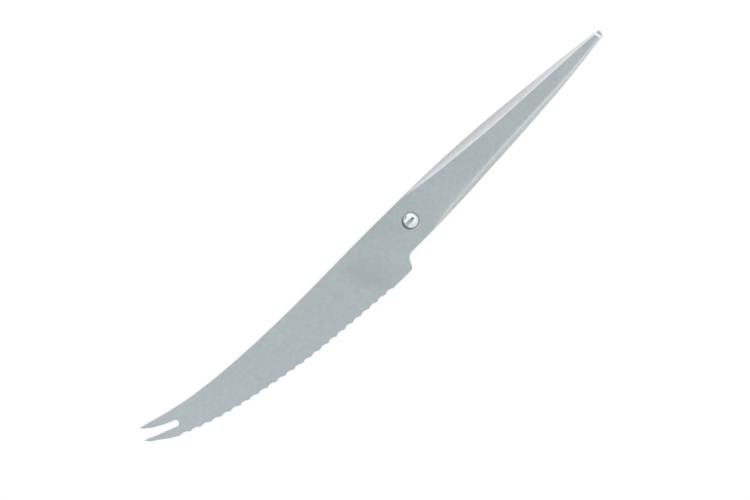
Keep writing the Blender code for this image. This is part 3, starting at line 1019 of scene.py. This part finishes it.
def makeFloor():
    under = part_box("handle_shell_right")[0].z
    onHandle, onTip, tipY = stage["rests"]
    restX, tipX = place(onHandle, 0).x, place(onTip, 0).x
    tilt = math.atan2(-bladeHalf(onTip, tipY) * mm - under, restX - tipX)
    cuts = stage["paperCuts"]
    bpy.ops.mesh.primitive_grid_add(x_subdivisions=cuts, y_subdivisions=cuts, size=stage["size"] * mm)
    floor = named("paperFloor")
    there = Matrix.Translation((restX, 0, under - stage["paperGap"] * mm))
    floor.data.transform(there @ Matrix.Rotation(tilt, 4, "Y") @ Matrix.Translation((-restX, 0, 0)))
    floor.data.materials.append(paperMaterial())


def glowMaterial(name):
    material, tree = newMaterial(name)
    tree.nodes.remove(tree.nodes["Principled BSDF"])
    glow = tree.nodes.new("ShaderNodeEmission")
    tree.links.new(glow.outputs["Emission"], tree.nodes["Material Output"].inputs["Surface"])
    return material, glow


def onlyReflected(card):
    card.visible_camera = False
    card.visible_diffuse = False
    card.visible_shadow = False
    card.visible_transmission = False


def makeCard():
    # a grey card over the knife that only reflections see, like the gap between two soft boxes
    (left, right), (low, high) = stage["cardX"], stage["cardY"]
    along, across = stage["cardCuts"]
    middle = ((left + right) / 2 * mm, (low + high) / 2 * mm, stage["cardHeight"] * mm)
    bpy.ops.mesh.primitive_grid_add(x_subdivisions=along, y_subdivisions=across, size=1, location=middle)
    card = named("greyCard")
    card.scale = ((right - left) * mm, (high - low) * mm, 1)
    bpy.ops.object.transform_apply(location=True, rotation=True, scale=True)
    flareStart, flareEnd, wider = stage["cardFlare"]
    for vertex in card.data.vertices:
        share = ease(vertex.co.x / mm, flareStart, flareEnd)
        vertex.co.y *= 1 + (wider - 1) * share
    material, glow = glowMaterial("cardGrey")
    tree = material.node_tree
    where = tree.nodes.new("ShaderNodeTexCoord").outputs["Object"]
    ramp = tree.nodes.new("ShaderNodeValToRGB")
    while len(ramp.color_ramp.elements) < len(stage["cardGreys"]):
        ramp.color_ramp.elements.new(0.5)
    for element, (at, grey) in zip(ramp.color_ramp.elements, stage["cardGreys"]):
        tones = stage["cardTintTip"] if at < stage["cardTintTipEnd"] else stage["cardTint"]
        element.position = at
        element.color = [grey * tone for tone in tones] + [1]
    way = between(tree, parts(tree, where)["X"], 0.0, 1.0, left * mm, right * mm)
    tree.links.new(way, ramp.inputs["Fac"])
    lensX, lensY, halfX, halfY = (value * mm for value in stage["lens"])
    oval = tree.nodes.new("ShaderNodeMapping")
    oval.inputs["Location"].default_value = (-lensX / halfX, -lensY / halfY, 0)
    oval.inputs["Scale"].default_value = (1 / halfX, 1 / halfY, 0)
    tree.links.new(where, oval.inputs["Vector"])
    away = vectors(tree, "LENGTH", oval.outputs["Vector"])
    strength = between(tree, away, stage["lensGrey"], 1.0, *stage["lensEdge"])
    tree.links.new(ramp.outputs["Color"], glow.inputs["Color"])
    tree.links.new(strength, glow.inputs["Strength"])
    card.data.materials.append(material)
    onlyReflected(card)


def heading(way, height):
    # a direction from its compass angle and its height, in degrees
    way, height = math.radians(way), math.radians(height)
    return Vector((math.cos(height) * math.cos(way), math.cos(height) * math.sin(way), math.sin(height)))


def makeSmallFlag():
    # leaves the dark sliver near the stud's rim
    toward = heading(*stage["smallFlag"])
    width, height = stage["smallFlagHalf"]
    bpy.ops.mesh.primitive_circle_add(vertices=stage["smallFlagSides"], fill_type="NGON", radius=mm)
    card = named("smallFlag")
    turn = toward.to_track_quat("Z", "Y").to_matrix().to_4x4()
    there = Matrix.Translation(place(*studPlace) + toward * stage["smallFlagAway"] * mm)
    card.data.transform(there @ turn @ Matrix.Diagonal((width, height, 1, 1)))
    material, glow = glowMaterial("flagGrey")
    glow.inputs["Color"].default_value = stage["smallFlagColour"]
    card.data.materials.append(material)
    onlyReflected(card)


def makeWorld():
    world = bpy.data.worlds.new("softStudio")
    bpy.context.scene.world = world
    world.use_nodes = True
    tree = world.node_tree
    direction = tree.nodes.new("ShaderNodeTexCoord").outputs["Generated"]
    way = parts(tree, direction)
    sky = between(tree, way["Y"], stage["skyBelly"], stage["skySpine"], -1.0, 1.0)
    ends = between(tree, way["X"], stage["skyTip"], stage["skyButt"], -1.0, 1.0)
    sky = sums(tree, "MULTIPLY", sky, ends)
    low = between(tree, way["Z"], stage["skyLow"], 1.0, 0.0, stage["skyWhole"])
    toward = vectors(tree, "DOT_PRODUCT", direction, heading(*stage["flag"]))
    whole, end = (math.cos(math.radians(angle)) for angle in stage["flagEdge"])
    left = between(tree, toward, 1.0, 1.0 - stage["flagDepth"], end, whole)
    sky = sums(tree, "MULTIPLY", sums(tree, "MULTIPLY", sky, low), left)
    seen = tree.nodes.new("ShaderNodeLightPath").outputs["Is Camera Ray"]
    background = tree.nodes["Background"]
    background.inputs["Color"].default_value = (1, 1, 1, 1)
    tree.links.new(sums(tree, "MAXIMUM", sky, seen), background.inputs["Strength"])


# Camera: straight down on the flat side, rolled as the knife lies in the photograph
camera = {
    "middle": (-17.72, 1.69),    # what the picture's centre shows
    "width": 290.6,              # what the picture's width spans at the mid-plane
    "distance": 1500.0,
    "roll": 44.436,
}


def makeCamera():
    data = bpy.data.cameras.new("camera")
    eye = bpy.data.objects.new("camera", data)
    bpy.context.scene.collection.objects.link(eye)
    data.sensor_width = 36.0
    data.lens = data.sensor_width * camera["distance"] / camera["width"]
    eye.location = place(*camera["middle"], camera["distance"])
    eye.rotation_euler = (0, 0, -math.radians(camera["roll"]))
    bpy.context.scene.camera = eye


def build():
    print("blade")
    plate = groundPlate()
    roundRims(plate)
    matchSection(plate)
    growBolster(plate)
    grindSerration(plate)
    boreForStud(plate)
    smooth(plate, blade["smoothBelow"])
    markFlutes(plate)
    applyModifier(plate, "WEIGHTED_NORMAL", keep_sharp=True, weight=blade["normalWeight"])
    print("stud, handle halves and cap")
    finger = makeStud()
    left = makeHalf("handleLeftHalf", 1)
    right = makeHalf("handleRightHalf", -1)
    end = makeCap()
    print("finishes")
    steel, mirror = satinSteel(), polishedSteel()
    finish(plate, steel, "blade")
    finish(left, steel, "handle_shell_left")
    finish(right, steel, "handle_shell_right")
    finish(finger, mirror, "finger_stop")
    finish(end, mirror, "butt_cap")
    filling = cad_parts["handle_filling"]
    filling.data.materials.clear()
    filling.data.materials.append(curedResin())
    print("stage and camera")
    makeFloor()
    makeCard()
    makeSmallFlag()
    makeWorld()
    makeCamera()
    bpy.context.scene.view_settings.view_transform = "Standard"


build()
